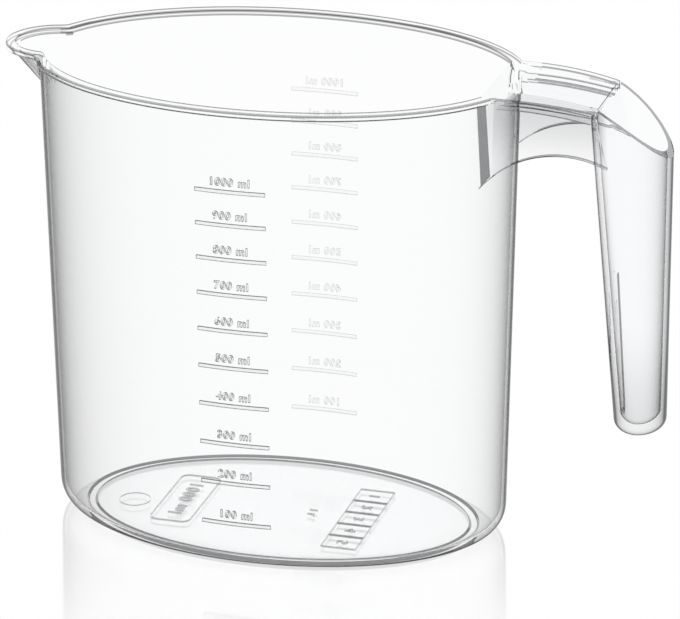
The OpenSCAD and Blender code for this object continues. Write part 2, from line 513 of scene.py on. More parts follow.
@dataclass(frozen=True)
class ClearPlastic:
    """Clear moulded plastic with painted shade where the wall turns edge on.

    The shade is painted into the colour of the outer surface within a wall's
    thickness of its outline, and not into the inner surface.
    """

    name: str
    face_colour: Colour = (0.985, 0.987, 0.99)
    shade_colour: Colour = (0.012, 0.0124, 0.0135)
    top_shading_colour: Colour | None = None
    axis_x: float = 0.0
    outer_reach: float = 8.0
    clear_above: float = 0.0
    clear_fade: float = 0.4
    shade: float = 1.9
    shade_power: float = 3.0
    low_shade: float = 0.0
    low_from: float = 76.0
    low_to: float = 42.0
    high_shade: float = 0.0
    high_from: float = 118.0
    high_to: float = 135.0
    high_end: float = 96.0
    high_fade: float = 2.0
    roughness: float = 0.0
    haze: float = 0.03
    ior: float = 1.03
    gloss: float = 0.1
    gloss_roughness: float = 0.03
    gloss_ior: float = 1.49
    ripple_height: float = 0.02
    ripple_scale: float = 34.0

    def material(self) -> bpy.types.Material:
        """Returns the finish as a material."""
        bench = Bench.of_material(self.name)
        coordinates = bench.node("ShaderNodeTexCoord")
        place, normal = coordinates.outputs["Object"], coordinates.outputs["Normal"]
        parts = bench.node("ShaderNodeSeparateXYZ", inputs={0: place})
        along, height = (Signal(bench, parts.outputs[axis]) for axis in "XZ")
        level = bench.node(
            "ShaderNodeCombineXYZ",
            inputs={"X": along - self.axis_x * MM, "Y": parts.outputs["Y"]},
        )
        outward = bench.signal(
            "ShaderNodeVectorMath",
            "Value",
            {"operation": "DOT_PRODUCT"},
            {0: level.outputs[0], 1: normal},
        )
        facing = bench.signal("ShaderNodeLayerWeight", "Facing", inputs={"Blend": 0.5})
        # Painted shade: the colour darkens towards near black where the surface turns edge on.
        dark = facing**self.shade_power * self.shade
        if self.clear_above:
            clear_from = (self.clear_above + self.clear_fade) * MM
            below = bench.eased(height, clear_from, self.clear_above * MM)
            dark = dark * below
        # Painted shade, darker towards the bottom.
        if self.low_shade:
            low = bench.eased(height, self.low_from * MM, self.low_to * MM)
            dark = dark + low * self.low_shade
        # Painted shade on upright faces high on the cheeks, under the flanges.
        if self.high_shade:
            high = bench.eased(height, self.high_from * MM, self.high_to * MM)
            high_limit = (self.high_end + self.high_fade) * MM
            near = bench.eased(along, high_limit, self.high_end * MM)
            dark = dark + high * near * bench.upright() * self.high_shade
        # The painted shade is kept to surfaces that face away from the axis.
        dark = dark * bench.eased(outward, 0.0, self.outer_reach * MM)
        colour = bench.mixed_colour(dark.at_most(1.0), self.face_colour, self.shade_colour)
        # Painted light: faces that point up take a lighter colour than the dark edge faces.
        if self.top_shading_colour:
            up = bench.signal("ShaderNodeSeparateXYZ", "Z", inputs={0: normal})
            colour = bench.mixed_colour(bench.eased(up, 0.1, 0.8), colour, self.top_shading_colour)
        flow = bench.signal(
            "ShaderNodeTexNoise",
            inputs={"Vector": place, "Scale": self.ripple_scale, "Detail": 1.5},
        )
        bump = bench.node(
            "ShaderNodeBump",
            inputs={"Strength": self.ripple_height, "Distance": 1.0 * MM, "Height": flow},
        )
        shader = bench.node(
            "ShaderNodeBsdfPrincipled",
            inputs={
                "Base Color": colour,
                "Roughness": flow * self.haze + self.roughness,
                "IOR": self.ior,
                "Coat Weight": self.gloss,
                "Coat Roughness": self.gloss_roughness,
                "Coat IOR": self.gloss_ior,
                "Transmission Weight": 1.0,
                "Normal": bump.outputs["Normal"],
            },
        )
        return bench.surface(shader.outputs["BSDF"])


@dataclass(frozen=True)
class RaisedMark:
    """Clear raised marking with painted shade on its upright flanks, which show as fine grey
    lines.
    """

    name: str
    outward: Outward = Outward.FROM_WALL
    top_shading_colour: Colour = (0.10, 0.10, 0.105)
    flank_shade_colour: Colour = (0.35, 0.35, 0.36)
    face_colour: Colour = (0.80, 0.80, 0.805)
    flank_share: float = 0.9
    face_share: float = 0.10
    roughness: float = 0.3

    def material(self) -> bpy.types.Material:
        """Returns the finish as a material."""
        bench = Bench.of_material(self.name)
        normal = bench.node("ShaderNodeTexCoord").outputs["Normal"]
        parts = bench.node("ShaderNodeSeparateXYZ", inputs={0: normal})
        outward = bench.signal(
            "ShaderNodeMath",
            0,
            {"operation": "ABSOLUTE"},
            {0: parts.outputs[self.outward.value]},
        )
        # Painted shade: the upright flanks take grey, darker where they face up.
        flank = bench.eased(outward, 0.95, 0.6)
        up = bench.eased(Signal(bench, parts.outputs["Z"]), 0.1, 0.6)
        side = bench.mixed_colour(up, self.flank_shade_colour, self.top_shading_colour)
        shader = bench.node(
            "ShaderNodeBsdfPrincipled",
            inputs={
                "Base Color": bench.mixed_colour(flank, self.face_colour, side),
                "Roughness": self.roughness,
                "Alpha": flank * (self.flank_share - self.face_share) + self.face_share,
            },
        )
        return bench.surface(shader.outputs["BSDF"])


@dataclass(frozen=True)
class WhiteSweep:
    """A white floor with a faint shadow and a soft mirror image of the jug."""

    name: str = "white_sweep"
    paint: Colour = (0.8, 0.8, 0.8)
    glow: float = 0.985
    shine: float = 0.38
    shine_roughness: float = 0.07
    shine_from: float = 40.0
    shine_to: float = 125.0

    def material(self) -> bpy.types.Material:
        """Returns the finish as a material."""
        bench = Bench.of_material(self.name)
        seen = bench.seen()
        place = bench.node("ShaderNodeTexCoord").outputs["Object"]
        away = bench.signal(
            "ShaderNodeVectorMath", "Value", {"operation": "LENGTH"}, {0: place}
        )
        near = bench.eased(away, self.shine_to * MM, self.shine_from * MM)
        paint = bench.node("ShaderNodeBsdfDiffuse", inputs={"Color": (*self.paint, 1.0)})
        glow = bench.node("ShaderNodeEmission", inputs={"Color": WHITE, "Strength": 1.0})
        gloss = bench.node(
            "ShaderNodeBsdfGlossy",
            inputs={"Color": WHITE, "Roughness": self.shine_roughness},
        )
        lit = bench.node(
            "ShaderNodeMixShader",
            inputs={0: self.glow, 1: paint.outputs[0], 2: glow.outputs[0]},
        )
        shiny = bench.node(
            "ShaderNodeMixShader",
            inputs={0: near * self.shine, 1: lit.outputs[0], 2: gloss.outputs[0]},
        )
        both = bench.node(
            "ShaderNodeMixShader",
            inputs={0: seen, 1: paint.outputs[0], 2: shiny.outputs[0]},
        )
        return bench.surface(both.outputs[0])


# --------------------------------------------------------------------------
# Vessel
# --------------------------------------------------------------------------


@dataclass
class Vessel:
    """Oval wall with its floor, foot ring, rim and pouring spout."""

    jug_h: float = 138.7
    base_half_l: float = 66.6
    base_half_w: float = 43.5
    wall_lean: float = 2.6
    wall_t: float = 1.4
    knuckle_h: float = 9.2
    bowl_fullness: float = 0.85
    foot_half_l: float = 58.6
    foot_half_w: float = 36.9
    foot_ring_w: float = 2.6
    foot_ring_h: float = 0.9
    foot_draft: float = 0.25
    foot_soft_r: float = 0.3
    floor_t: float = 1.6
    floor_in: float = 5.0
    floor_in_above: float = 8.0
    rim_out: float = 1.9
    rim_h: float = 1.8
    lip_centre_in: float = 3.1
    lip_r: float = 14.3
    lip_out: float = 1.5
    channel_h: float = 11.8
    channel_foot_r: float = 1.7
    channel_foot_in: float = 0.6
    keel_below: float = 2.3
    keel_lead: float = 0.6
    keel_r: float = 1.0
    crease_reach: float = 2.0
    crease_least: float = 0.9
    column_first: float = 0.35
    column_growth: float = 0.08
    column_step: float = 1.35
    fine_stretch: float = 0.8
    coarse_stretch: float = 6.0
    fine_below_keel: float = 3.0
    spout_columns: int = 26
    crease_columns: int = 8

    def __post_init__(self) -> None:
        """Works out the derived sizes."""
        self.rim_z = self.jug_h - self.rim_h
        self.top_half_l = self.base_half_l + self.wall_lean
        self.top_half_w = self.base_half_w + self.wall_lean
        self.lip_x = self.top_half_l - self.lip_centre_in
        self.channel_r = self.lip_r - self.lip_out
        self.channel_foot_z = self.rim_z - self.channel_h
        self.shares = self.column_shares()

    def lean_at(self, z: float) -> float:
        """Returns how far the wall has leaned outward at height z."""
        return self.wall_lean * (z - self.knuckle_h) / (self.rim_z - self.knuckle_h)

    def wall_at(self, z: float, inset: float = 0.0) -> tuple[float, float]:
        """Returns the half length and half width of the wall at height z."""
        lean = self.lean_at(z) - inset
        return self.base_half_l + lean, self.base_half_w + lean

    def wall_x(self, y: float, z: float, inset: float = 0.0) -> float:
        """Returns where the wall towards the grip lies at a given y and z."""
        half_l, half_w = self.wall_at(z, inset)
        return half_l * math.sqrt(max(0.0, 1 - (y / half_w) ** 2))

    def on_wall(self, x: float, z: float, side: Side, out: float = 0.0) -> Vector:
        """Finds a point on a long face of the wall.

        Args:
            x: Its place along the jug.
            z: Its height.
            side: The long face.
            out: How far it stands off the wall along the wall's normal.

        Returns:
            The point in metres.
        """
        half_l, half_w = self.wall_at(z)
        y = side.value * half_w * math.sqrt(max(0.0, 1 - (x / half_l) ** 2))
        normal = Vector((x / half_l**2, y / half_w**2, 0.0)).normalized()
        return (Vector((x, y, z)) + normal * out) * MM

    def column_shares(self) -> list[float]:
        """Returns how the columns share the oval between spout and grip end."""
        turn = np.linspace(math.asin(self.lip_r / self.top_half_w), math.pi, 4001)
        line = np.stack([self.top_half_l * np.cos(turn), self.top_half_w * np.sin(turn)], -1)
        length = np.linalg.norm(np.diff(line, axis=0), axis=1)
        run = np.cumsum(length)
        step = np.minimum(self.column_first + self.column_growth * run, self.column_step)
        columns = np.concatenate([[0.0], np.cumsum(length / step)])
        count = round(columns[-1])
        share = (turn - turn[0]) / (math.pi - turn[0])
        return list(np.interp(np.arange(1, count + 1) * columns[-1] / count, columns, share))

    def crossing(self, station: Point) -> float:
        """Finds where the spout circle meets the oval.

        Args:
            station: The station's sizes, as section gives them.

        Returns:
            The turn on the spout circle, in radians.
        """
        half_l, _, half_w, centre, round_r = station

        def outside(turn: float) -> bool:
            """Tells whether the circle lies outside the oval at a turn."""
            x, y = centre + round_r * math.cos(turn), round_r * math.sin(turn)
            return (x / half_l) ** 2 + (y / half_w) ** 2 > 1

        low, high = 0.0, math.pi
        if not outside(low):
            return 0.0
        for _ in range(40):
            middle = (low + high) / 2
            low, high = (middle, high) if outside(middle) else (low, middle)
        return low

    def half_plan(self, station: Point) -> list[Point]:
        """Returns half of a ring in plan, from the spout's tip to the grip end.

        The columns keep to the spout, the crease beside it and the oval at every
        station, so that the crease runs along them.

        Args:
            station: The station's sizes, as section gives them.

        Returns:
            The points, with x counted towards the spout.
        """
        half_l, _, half_w, centre, round_r = station
        turn = self.crossing(station)
        wide = round_r * math.sin(turn) > self.crease_least
        edge_y = max(round_r * math.sin(turn), self.crease_least)
        edge = math.asin(edge_y / half_w)

        def on_oval(angle: float) -> Point:
            """Returns a point of the oval."""
            return np.array([half_l * math.cos(angle), half_w * math.sin(angle)])

        def on_spout(share: float) -> Point:
            """Finds a point of the spout's part of the ring.

            Args:
                share: Its share of the way from the tip to the crease.

            Returns:
                The point.
            """
            if wide:
                a = turn * share
                return np.array([centre + round_r * math.cos(a), round_r * math.sin(a)])
            y = edge_y * share
            x = half_l * math.sqrt(1 - (y / half_w) ** 2)
            if y < round_r:
                x = max(x, centre + math.sqrt(round_r**2 - y**2))
            return np.array([x, y])

        arc = round_r * turn if wide else edge_y
        last = 1 - min(self.crease_reach / arc, 0.45)
        points = [on_spout(last * k / self.spout_columns) for k in range(self.spout_columns)]
        speed = math.hypot(half_l * math.sin(edge), half_w * math.cos(edge))
        leave = edge + self.crease_reach / speed
        start, corner, stop = on_spout(last), on_oval(edge), on_oval(leave)
        for k in range(self.crease_columns + 1):
            s = k / self.crease_columns
            points.append((1 - s) ** 2 * start + 2 * s * (1 - s) * corner + s * s * stop)
        points += [on_oval(blend(leave, math.pi, share)) for share in self.shares]
        return points

    def ring(self, station: Point) -> list[Vector]:
        """Returns the whole ring of a station."""
        half = self.half_plan(station)
        z = station[1]
        there = [Vector((-x, y, z)) * MM for x, y in half]
        back = [Vector((-x, -y, z)) * MM for x, y in reversed(half[1:-1])]
        return [*there, *back]

    def section(
        self,
        half_l: float,
        half_w: float,
        z: float,
        centre: float = 0.0,
        round_r: float = 0.5,
    ) -> Point:
        """Gathers the sizes of one station of the profile.

        Args:
            half_l: The oval's half length.
            half_w: The oval's half width.
            z: The height.
            centre: The spout circle's centre, well inside the oval by default.
            round_r: The spout circle's radius.

        Returns:
            Half length, height, half width, centre and radius.
        """
        return np.array([half_l, z, half_w, centre, round_r])

    def bowl(self, inset: float, low: float, share: float) -> Point:
        """Finds a station of the rounded bottom edge.

        Args:
            inset: How far it lies inside the outer surface.
            low: The height of the edge's lower end.
            share: The turn from the foot, 0, to the wall, a quarter turn.

        Returns:
            The station.
        """
        out = math.sin(share) ** self.bowl_fullness
        up = 1 - math.cos(share) ** self.bowl_fullness
        return self.section(
            blend(self.foot_half_l, self.base_half_l, out) - inset,
            blend(self.foot_half_w, self.base_half_w, out) - inset,
            blend(low, self.knuckle_h, up),
        )

    def profile(self) -> list[Point]:
        """Returns the profile from below the floor, over the rim, to the floor."""
        foot_l, foot_w, low = self.foot_half_l, self.foot_half_w, self.foot_ring_h
        ring_w, draft, soft = self.foot_ring_w, self.foot_draft, self.foot_soft_r
        top_l, top_w, inside = self.top_half_l, self.top_half_w, self.wall_t
        rim_l, rim_w = top_l + self.rim_out, top_w + self.rim_out
        floor_z = low + self.floor_t
        corners: list[tuple[Point, float]] = [
            (self.section(foot_l - self.floor_in, foot_w - self.floor_in, low), 0),
            (self.section(foot_l - ring_w, foot_w - ring_w, low), soft),
            (self.section(foot_l - ring_w + draft, foot_w - ring_w + draft, 0), soft),
            (self.section(foot_l - draft, foot_w - draft, 0), soft),
            (self.section(foot_l, foot_w, low), soft),
        ]
        quarter = [math.radians(a) for a in range(9, 91, 9)]
        corners += [(self.bowl(0, low, a), 0) for a in quarter]
        foot_z = self.channel_foot_z
        keel = [
            (foot_z - self.keel_below, self.lip_x + self.keel_lead, self.keel_r),
            (foot_z, self.wall_at(foot_z)[0] - self.channel_foot_in, self.channel_foot_r),
            (self.rim_z, self.lip_x, self.channel_r),
        ]
        for (z, centre, round_r), reach in zip(keel, (0, 0, 0.5)):
            corners.append((self.section(*self.wall_at(z), z, centre, round_r), reach))
        lip_x, inner_r = self.lip_x, self.channel_r - inside
        inner_rim = self.wall_at(self.rim_z, inside)
        corners += [
            (self.section(rim_l, rim_w, self.rim_z, lip_x, self.lip_r), 0.5),
            (self.section(rim_l, rim_w, self.jug_h, lip_x, self.lip_r), 0.65),
            (self.section(top_l - inside, top_w - inside, self.jug_h, lip_x, inner_r), 0.55),
            (self.section(*inner_rim, self.rim_z, lip_x, inner_r), 0.5),
        ]
        for z, centre, round_r in reversed(keel[:2]):
            z += inside
            corners.append((self.section(*self.wall_at(z, inside), z, centre, round_r), 0))
        corners += [(self.bowl(inside, floor_z, a), 0) for a in [*reversed(quarter), 0.0]]
        above = self.floor_in_above
        corners.append((self.section(foot_l - above, foot_w - above, floor_z), 0))
        line = rounded([c for c, _ in corners], [r for _, r in corners])
        return divided(line, self.longest_stretch)

    def longest_stretch(self, station: Point) -> float:
        """Returns the longest stretch of the profile allowed at a station."""
        fine = station[1] > self.channel_foot_z - self.fine_below_keel
        return self.fine_stretch if fine else self.coarse_stretch

    def build(self) -> Solid:
        """Returns the vessel as one closed solid."""
        rings = [self.ring(station) for station in self.profile()]
        return Solid("vessel", Region.VESSEL).loft(rings)


# --------------------------------------------------------------------------
# Handle
# --------------------------------------------------------------------------


@dataclass
class Handle:
    """Bridge with its recessed tray, flanges and cheeks, and the hollow grip."""

    vessel: Vessel
    bridge_l: float = 25.5
    bridge_drop: float = 2.5
    bridge_under_rim: float = 0.02
    flange_half_w: float = 17.6
    flange_end_half_w: float = 15.4
    recess_half_w: float = 11.0
    flange_t: float = 1.9
    cheek_half_w: float = 15.4
    cheek_into_flange: float = 0.6
    cheek_soft_r: float = 0.4
    bridge_t: float = 1.6
    recess_d: float = 3.2
    recess_above: float = 6.0
    recess_off_rim: float = 0.02
    recess_into_grip: float = 0.8
    recess_soft_r: float = 0.6
    recess_steps: int = 12
    arch_reach: float = 16.8
    arch_r: float = 30.0
    arch_below: float = 15.9
    cheek_lean: float = 3.6
    flare_w: float = 4.4
    flare_l: float = 2.3
    flare_rest_w: float = 3.2
    flare_rest_l: float = 10.7
    flare_low_share: float = 0.6
    grip_lap: float = 2.7
    grip_depth: float = 21.4
    grip_half_w: float = 14.4
    grip_corner_r: float = 4.2
    nose_steps: int = 48
    corner_steps: int = 12
    corner_step_turn: float = 7.2
    flat_steps: int = 14
    flat_turn: float = 3.6
    wall_steps: int = 21
    opening_slope: float = 40.5
    opening_swell: float = 1.2
    opening_lead: float = 0.5
    opening_cuts: int = 6
    grip_end_h: float = 39.4
    end_half_l: float = 7.4
    end_half_w: float = 9.4
    end_round_r: float = 3.2
    grip_t: float = 1.7
    mouth_soft_w: float = 0.45
    end_t: float = 2.6
    rib_top_h: float = 85.0
    rib_t: float = 1.5
    rib_d: float = 1.2
    rib_sink: float = 0.8
    rib_draft: float = 0.1
    rib_soft_r: float = 0.35
    rib_steps: int = 14
    stations: int = 22

    def __post_init__(self) -> None:
        """Works out the derived sizes."""
        top_half_l = self.vessel.top_half_l
        self.end_x = top_half_l + self.bridge_l
        self.arch_x = top_half_l + self.arch_reach
        self.arch_z = self.vessel.jug_h - self.arch_below - self.arch_r
        self.flat_x = self.end_x - self.grip_lap
        self.nose_x = self.flat_x + self.grip_depth
        self.oval_x = self.flat_x + self.grip_corner_r
        self.low_x = self.nose_x - self.end_half_l

    def run(self, x: float) -> float:
        """Returns the share of the bridge that lies before x."""
        return max(0.0, x - self.vessel.top_half_l) / self.bridge_l

    def top(self, x: float) -> float:
        """Returns the height of the bridge's top at x."""
        return self.vessel.jug_h - self.bridge_under_rim - self.bridge_drop * self.run(x) ** 2

    def flange_edge(self, x: float) -> float:
        """Returns the flanges' half width at x."""
        narrower = self.flange_half_w - self.flange_end_half_w
        return self.flange_half_w - narrower * min(self.run(x), 1.0) ** 2

    def arch(self, x: float) -> float:
        """Returns the height of the finger arch at x."""
        return self.arch_z + math.sqrt(max(0.0, self.arch_r**2 - (x - self.arch_x) ** 2))

    def stretch(
        self,
        corners: Sequence[Callable[[float], Point]],
        reach: Sequence[float],
        name: str,
        ease: float = 1.0,
    ) -> Solid:
        """Lofts a section of moving corners from the wall to the grip.

        Args:
            corners: Each gives its place, x z y, at a share of the way.
            reach: The rounding at each corner.
            name: The solid's name.
            ease: Above one, the stations crowd towards the wall.

        Returns:
            The closed solid.
        """
        rings = []
        for index in range(self.stations + 1):
            share = (index / self.stations) ** ease
            line = rounded([c(share) for c in corners], reach, closed=True)
            rings.append([Vector((p[0], p[2], p[1])) * MM for p in line])
        return Solid(name, Region.HANDLE).loft(rings)

    def deck(self) -> Solid:
        """Returns the bridge's top plate with the flanges, not yet recessed."""

        def corner(
            width: Callable[[float], float], depth: float, stop: float
        ) -> Callable[[float], Point]:
            """Makes a corner of the plate's section.

            Args:
                width: Gives its y at an x.
                depth: How far it lies below the top.
                stop: The x where it ends.

            Returns:
                The corner's place, by share of the way.
            """
            start = self.vessel.wall_x(
                width(self.vessel.top_half_l), self.vessel.rim_z, self.vessel.wall_t / 2
            )

            def place(share: float) -> Point:
                """Returns the corner's place at a share of the way."""
                x = blend(start, stop, share)
                return np.array([x, self.top(x) - depth, width(x)])

            return place

        tray = self.recess_half_w + self.bridge_t
        inner_stop = self.flat_x + self.grip_t / 2
        low = self.recess_d + self.bridge_t
        corners, reach = [], []
        for side in (-1, 1):
            edge = [
                (lambda x, s=side: s * tray, low, inner_stop, 0.5),
                (lambda x, s=side: s * tray, self.flange_t, inner_stop, 0.4),
                (lambda x, s=side: s * self.flange_edge(x), self.flange_t, self.end_x, 0.5),
                (lambda x, s=side: s * self.flange_edge(x), 0.0, self.end_x, 0.55),
            ]
            for width, depth, stop, soft in edge if side < 0 else reversed(edge):
                corners.append(corner(width, depth, stop))
                reach.append(soft)
        return self.stretch(corners, reach, "bridge_deck")

    def recess(self) -> Solid:
        """Returns the cutter that sinks the tray and opens it into the grip."""
        rim_l = self.vessel.top_half_l + self.vessel.rim_out
        rim_w = self.vessel.top_half_w + self.vessel.rim_out
        stop = self.flat_x + self.grip_t + self.recess_into_grip

        def corner(y: float, depth: float) -> Callable[[float], Point]:
            """Makes a corner of the cutter's section.

            Args:
                y: Its y.
                depth: How far it lies below the top.

            Returns:
                The corner's place, by share of the way.
            """
            start = rim_l * math.sqrt(1 - (y / rim_w) ** 2) + self.recess_off_rim

            def place(share: float) -> Point:
                """Returns the corner's place at a share of the way."""
                x = blend(start, stop, share)
                return np.array([x, self.top(x) - depth, y])

            return place

        half, deep, above = self.recess_half_w, self.recess_d, -self.recess_above
        across = [half * k / (self.recess_steps / 2) for k in range(1, self.recess_steps)]
        order = [
            (-half, above), (-half, deep), *((w - half, deep) for w in across),
            (half, deep), (half, above), *((half - w, above) for w in across),
        ]
        reach = [0.0] * len(order)
        reach[1] = reach[self.recess_steps + 1] = self.recess_soft_r
        return self.stretch([corner(*p) for p in order], reach, "recess")

    def cheek(self, side: Side) -> Solid:
        """Makes one arched upright wall under a flange.

        Args:
            side: The side of the bridge that it stands on.

        Returns:
            The closed solid.
        """
        under = self.flange_t - self.cheek_into_flange
        slope = self.cheek_lean / (self.top(self.end_x) - self.flange_t - self.arch(self.end_x))

        def corner(outer: bool, low: bool) -> Callable[[float], Point]:
            """Makes a corner of the section, flared at the wall where it is outer.

            Args:
                outer: Whether it lies on the outer face.
                low: Whether it follows the arch.

            Returns:
                The corner's place, by share of the way.
            """
            z0 = self.arch(self.vessel.top_half_l) if low else self.vessel.rim_z
            flare = (self.flare_low_share if low else 1.0) if outer else 0.0
            out = self.cheek_half_w + self.flare_w * flare
            start = self.vessel.wall_x(out, z0, self.vessel.wall_t / 2)
            stop = self.end_x + (self.cheek_lean if low else -under * slope)

            def place(share: float) -> Point:
                """Finds the corner's place.

                Args:
                    share: The share of the way from the wall to the grip.

                Returns:
                    Its x, z and y.
                """
                x = blend(start, stop, share)
                z = self.arch(x) if low else self.top(x) - under
                y = self.cheek_half_w - (0 if outer else self.bridge_t)
                if outer:
                    y += flare * float(np.interp(
                        (x - self.vessel.wall_x(out, z0)) / flare,
                        [0.0, self.flare_l, self.flare_l + self.flare_rest_l],
                        [self.flare_w, self.flare_rest_w, 0.0],
                    ))
                return np.array([x, z, side.value * y])

            return place

        order = ((True, False), (True, True), (False, True), (False, False))
        corners = [corner(*kind) for kind in order]
        reach = [0, self.cheek_soft_r, self.cheek_soft_r, 0]
        return self.stretch(corners, reach, f"cheek_{side.name.lower()}", 2.0)

    def grip_outline(self, inset: float) -> list[tuple[Point, float]]:
        """Draws the grip's top outline.

        Args:
            inset: How far the outline lies inside the outer surface.

        Returns:
            The points in plan, each with its outward angle.
        """
        turn_r = self.grip_corner_r - inset
        corner_y = self.grip_half_w - self.grip_corner_r
        half_l, half_w = self.nose_x - self.oval_x - inset, self.grip_half_w - inset
        points: list[tuple[Point, float]] = []

        def turn(side: int, k: int) -> tuple[Point, float]:
            """Returns one point of the rounded corner on a side."""
            a = math.radians(side * 90 + side * self.corner_step_turn * k)
            x, y = self.oval_x + turn_r * math.cos(a), side * corner_y + turn_r * math.sin(a)
            return np.array([x, y]), a

        for k in range(self.nose_steps + 1):
            a = math.radians(-90 + 180 * k / self.nose_steps)
            reach = math.hypot(half_l * math.cos(a), half_w * math.sin(a))
            x = self.oval_x + half_l**2 * math.cos(a) / reach
            points.append((np.array([x, half_w**2 * math.sin(a) / reach]), a))
        points += [turn(1, k) for k in range(1, self.corner_steps + 1)]
        spread = math.radians(self.flat_turn)
        for k in range(1, self.flat_steps):
            s = k / self.flat_steps
            place = np.array([self.flat_x + inset, blend(corner_y, -corner_y, s)])
            points.append((place, blend(math.pi - spread, math.pi + spread, s)))
        points += [turn(-1, k) for k in range(self.corner_steps, 0, -1)]
        return points

    def grip_surface(self, solid: Solid, inset: float) -> None:
        """Adds the outer or inner surface of the grip, open at the top.

        Args:
            solid: The solid that gets the surface.
            inset: How far the surface lies inside the outer one.
        """
        outline = self.grip_outline(inset)
        low = self.grip_end_h + (self.end_t if inset > 0 else 0)

        def lower(out: float, z: float) -> list[Point]:
            """Draws a ring round the closed end.

            Args:
                out: How far it is drawn in.
                z: Its height.

            Returns:
                The points of the ring.
            """
            half_l, half_w = self.end_half_l - out, self.end_half_w - out
            ring = []
            for _, a in outline:
                reach = math.hypot(half_l * math.cos(a), half_w * math.sin(a))
                x = self.low_x + half_l**2 * math.cos(a) / reach
                ring.append(np.array([x, half_w**2 * math.sin(a) / reach, z]))
            return ring

        round_r = self.end_round_r
        rings = []
        for angle in range(0, 91, 10):
            s = math.radians(angle)
            out = round_r * (1 - math.sin(s)) + inset
            rings.append(lower(out, low + round_r * (1 - math.cos(s))))
        bottom = rings[-1]
        upper = [np.array([*p, self.vessel.jug_h]) for p, _ in outline]
        steps = self.wall_steps
        for k in range(1, steps + 2):
            rings.append([b + (t - b) * k / steps for b, t in zip(bottom, upper)])
        solid.loft([[Vector(p) * MM for p in ring] for ring in rings], True, False)

    def mouth_cuts(self) -> list[tuple[Vector, Vector]]:
        """Returns the planes that cut the grip's swelling, slanting mouth."""
        lead = Vector((self.end_x + self.opening_lead, 0, self.top(self.end_x)))
        flat = Vector((self.flat_x, 0, self.top(self.flat_x)))
        along = (lead - flat).normalized()
        cuts = [(lead, Vector((-along.z, 0, along.x)))]
        length = self.nose_x - lead.x
        slope = math.tan(math.radians(self.opening_slope))
        for k in range(self.opening_cuts):
            t = k / (self.opening_cuts - 1)
            drop = slope * t * length - 4 * self.opening_swell * t * (1 - t)
            fall = slope - 4 * self.opening_swell * (1 - 2 * t) / length
            place = lead + Vector((t * length, 0, -drop))
            cuts.append((place, Vector((fall, 0, 1)).normalized()))
        return cuts

    def grip(self) -> Solid:
        """Returns the hollow grip with its slanting open top."""
        solid = Solid("grip", Region.HANDLE)
        self.grip_surface(solid, 0.0)
        self.grip_surface(solid, self.grip_t)
        mesh = solid.mesh
        for place, normal in self.mouth_cuts():
            bmesh.ops.bisect_plane(
                mesh,
                geom=[*mesh.verts, *mesh.edges, *mesh.faces],
                dist=CUT_REACH,
                plane_co=place * MM,
                plane_no=normal,
                clear_outer=True,
            )
        mouth = [e for e in mesh.edges if len(e.link_faces) == 1]
        bmesh.ops.bridge_loops(mesh, edges=mouth)
        soften(mesh, mouth, self.mouth_soft_w)
        return solid

    def rib(self) -> Solid:
        """Returns the thin rib inside the grip's face towards the jug."""
        low = self.grip_end_h + self.end_t - self.rib_sink
        span = self.vessel.jug_h - self.grip_end_h
        rings = []
        for k in range(self.rib_steps + 1):
            z = blend(low, self.rib_top_h, k / self.rib_steps)
            share = max(0.0, z - self.grip_end_h - self.end_t - self.end_round_r) / span
            face = blend(
                self.low_x - self.end_half_l + self.grip_t, self.flat_x + self.grip_t, share
            )
            half, crest = self.rib_t / 2, self.rib_t / 2 - self.rib_draft
            root, out = face - self.rib_sink, face + self.rib_d
            corners = [
                np.array([x, 0.0, y])
                for x, y in ((root, -half), (out, -crest), (out, crest), (root, half))
            ]
            line = rounded(corners, [0, self.rib_soft_r, self.rib_soft_r, 0], closed=True)
            rings.append([Vector((p[0], p[2], z)) * MM for p in line])
        return Solid("grip_rib", Region.HANDLE).loft(rings)


# --------------------------------------------------------------------------
# Raised marks
# --------------------------------------------------------------------------


@dataclass
class Lettering:
    """Raised plain lettering, made from a text curve turned into a mesh."""

    size: float = 3.15
    weight: float = 0.03
    spacing: float = 1.16
    curve_steps: int = 3
    merge_reach: float = 0.004
    rise: float = 0.32
    sink: float = 0.35

    def solid(self, words: str) -> Solid:
        """Makes raised words, flat and centred on the origin.

        Args:
            words: The words.

        Returns:
            The closed solid.
        """
        curve = bpy.data.curves.new("lettering", "FONT")
        curve.body = words
        curve.size = self.size * MM
        curve.align_x = "CENTER"
        curve.offset = self.weight * self.size * MM
        curve.space_character = self.spacing
        curve.extrude = (self.rise + self.sink) / 2 * MM
        curve.resolution_u = self.curve_steps
        holder = placed("lettering", curve)
        depsgraph = bpy.context.evaluated_depsgraph_get()
        data = bpy.data.meshes.new_from_object(holder.evaluated_get(depsgraph))
        solid = Solid(words.replace(" ", "_"))
        solid.mesh.from_mesh(data)
        bpy.data.objects.remove(holder)
        bpy.data.curves.remove(curve)
        bpy.data.meshes.remove(data)
        reach = self.merge_reach * MM
        bmesh.ops.remove_doubles(solid.mesh, verts=solid.mesh.verts, dist=reach)
        solid.shift(Vector((0, 0, (self.rise - self.sink) / 2 * MM)))
        return solid


